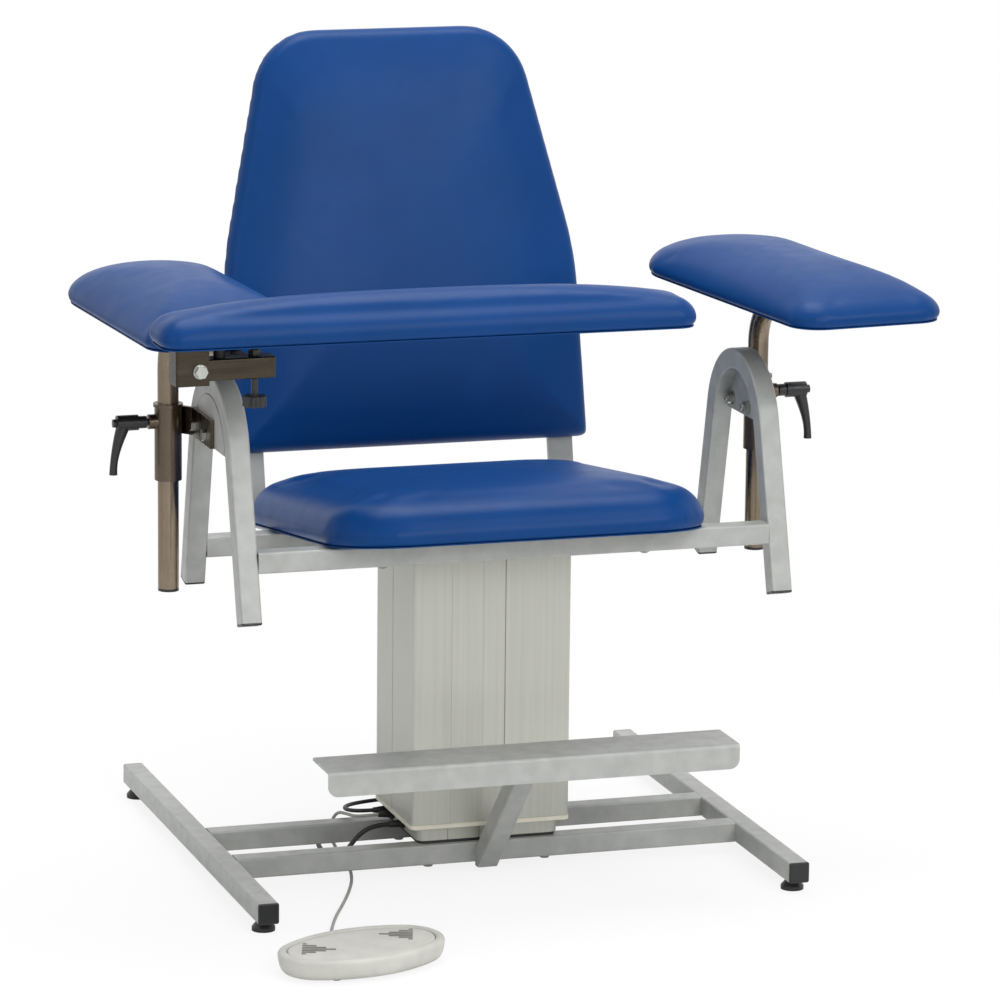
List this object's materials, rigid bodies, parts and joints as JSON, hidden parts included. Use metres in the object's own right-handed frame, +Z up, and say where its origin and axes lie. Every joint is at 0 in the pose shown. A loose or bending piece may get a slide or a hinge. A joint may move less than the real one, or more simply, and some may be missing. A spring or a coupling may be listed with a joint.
{
  "type": "phlebotomy chair",
  "caption": "Blood-draw chair on an electric lifting column with upholstered seat, back, swivelling arm pads, a flip-up front bar, a footrest and a foot pedal.",
  "frame": {"origin": "on the floor, on the lifting column's axis", "axes": "+Z up, the sitter faces -Y, +X to the right as seen from in front"},
  "size_m": [0.9916, 0.889, 0.9908],
  "materials": {
    "frame_coat": "grey powder coat",
    "column_coat": "light grey anodised column",
    "cream_plastic": "cream moulded plastic",
    "black_plastic": "black plastic",
    "black_rubber": "black rubber",
    "dark_steel": "black painted steel",
    "nickel_steel": "satin nickel on steel",
    "zinc_steel": "zinc plated steel",
    "screw_steel": "plain steel",
    "nut_brass": "bronze nut",
    "motor_case": "black motor casing",
    "board": "plywood under wrapped vinyl",
    "blue_vinyl": "royal blue clinic vinyl over foam",
    "pedal_shell": "off-white plastic",
    "pedal_top": "light grey plastic",
    "cable_grey": "grey cable sheath",
    "cable_black": "black cable sheath"
  },
  "bodies": {
    "base": {"side_rail_left": "frame_coat", "side_rail_right": "frame_coat", "cross_rail_front": "frame_coat", "cross_rail_rear": "frame_coat", "rail_end_caps": "black_plastic", "levelling_glides": "black_plastic", "footrest_strut": "frame_coat", "footrest_plate": "frame_coat", "column_bolts": "zinc_steel", "column_foot_plate": "dark_steel", "column_inner_profile": "column_coat", "lift_motor": "motor_case", "cable_glands": "black_plastic", "pedal_cable": "cable_grey", "link_cable": "cable_black", "mains_cable": "cable_black", "mains_coil": "cable_black", "mains_plug": "black_plastic", "pedal_base": "pedal_shell", "pedal_feet": "black_rubber"},
    "screw": {"lead_screw": "screw_steel"},
    "rocker": {"pedal_rocker": "pedal_top"},
    "lift": {"column_outer_profile": "column_coat", "column_rim": "cream_plastic", "column_top_plate": "dark_steel", "lift_nut": "nut_brass", "seat_bearers": "frame_coat", "cross_tube_front": "frame_coat", "cross_tube_rear": "frame_coat", "arch_left": "frame_coat", "arch_right": "frame_coat", "arch_gussets": "frame_coat", "leg_plugs": "black_plastic", "sleeve_left": "nickel_steel", "sleeve_right": "nickel_steel", "sleeve_brackets": "nickel_steel", "bracket_bolts": "zinc_steel", "seat_board": "board", "seat_cushion": "blue_vinyl", "back_posts": "frame_coat", "back_board": "board", "back_cushion": "blue_vinyl"},
    "lever_left": {"clamp_lever_left": "black_plastic"},
    "lever_right": {"clamp_lever_right": "black_plastic"},
    "slider_left": {"post_plug_left": "black_plastic"},
    "slider_right": {"post_plug_right": "black_plastic"},
    "arm_left": {"arm_post_left": "nickel_steel", "arm_board_left": "board", "arm_cushion_left": "blue_vinyl", "bar_tube": "nickel_steel", "bar_tube_cap": "black_plastic", "bar_pivot_bolt": "zinc_steel", "bar_rest_pads": "black_rubber"},
    "arm_right": {"arm_post_right": "nickel_steel", "arm_board_right": "board", "arm_cushion_right": "blue_vinyl"},
    "bar": {"bar_bracket": "nickel_steel", "bar_board": "board", "bar_cushion": "blue_vinyl"},
    "thumb": {"thumb_screw": "black_plastic"}
  },
  "joints": [
    {"name": "column_lift", "type": "slide", "parent": "base", "child": "lift", "axis": [0, 0, 1], "range_m": [0, 0.2]},
    {"name": "screw_spin", "type": "hinge", "parent": "base", "child": "screw", "pos_m": [0, 0, 0.2], "axis": [0, 0, 1], "continuous": true},
    {"name": "pedal_rock", "type": "hinge", "parent": "base", "child": "rocker", "pos_m": [-0.2614, -0.4179, 0.012], "axis": [-0.2588, 0.9659, 0], "range_deg": [-3, 3], "stiffness_Nm_per_rad": 3},
    {"name": "lever_left_turn", "type": "hinge", "parent": "lift", "child": "lever_left", "pos_m": [-0.41, 0.0313, 0.562], "axis": [1, 0, 0], "continuous": true},
    {"name": "lever_right_turn", "type": "hinge", "parent": "lift", "child": "lever_right", "pos_m": [0.41, 0.0313, 0.562], "axis": [1, 0, 0], "continuous": true},
    {"name": "arm_left_height", "type": "slide", "parent": "lift", "child": "slider_left", "axis": [0, 0, 1], "range_m": [-0.03, 0.12]},
    {"name": "arm_right_height", "type": "slide", "parent": "lift", "child": "slider_right", "axis": [0, 0, 1], "range_m": [-0.03, 0.12]},
    {"name": "arm_left_swivel", "type": "hinge", "parent": "slider_left", "child": "arm_left", "pos_m": [-0.3777, 0.0313, 0.5], "axis": [0, 0, 1], "range_deg": [-60, 3]},
    {"name": "arm_right_swivel", "type": "hinge", "parent": "slider_right", "child": "arm_right", "pos_m": [0.3777, 0.0313, 0.5], "axis": [0, 0, 1], "range_deg": [-6, 55]},
    {"name": "bar_flip", "type": "hinge", "parent": "arm_left", "child": "bar", "pos_m": [-0.42268, -0.27978, 0.6843], "axis": [0.0523, -0.9986, 0], "range_deg": [0, 95]},
    {"name": "thumb_screw_turn", "type": "hinge", "parent": "arm_left", "child": "thumb", "pos_m": [-0.35208, -0.27608, 0.66], "axis": [0, 0, 1], "continuous": true}
  ],
  "couplings": [
    {"joint": "screw_spin", "follows": "column_lift", "rad_per_m": 523.6}
  ]
}
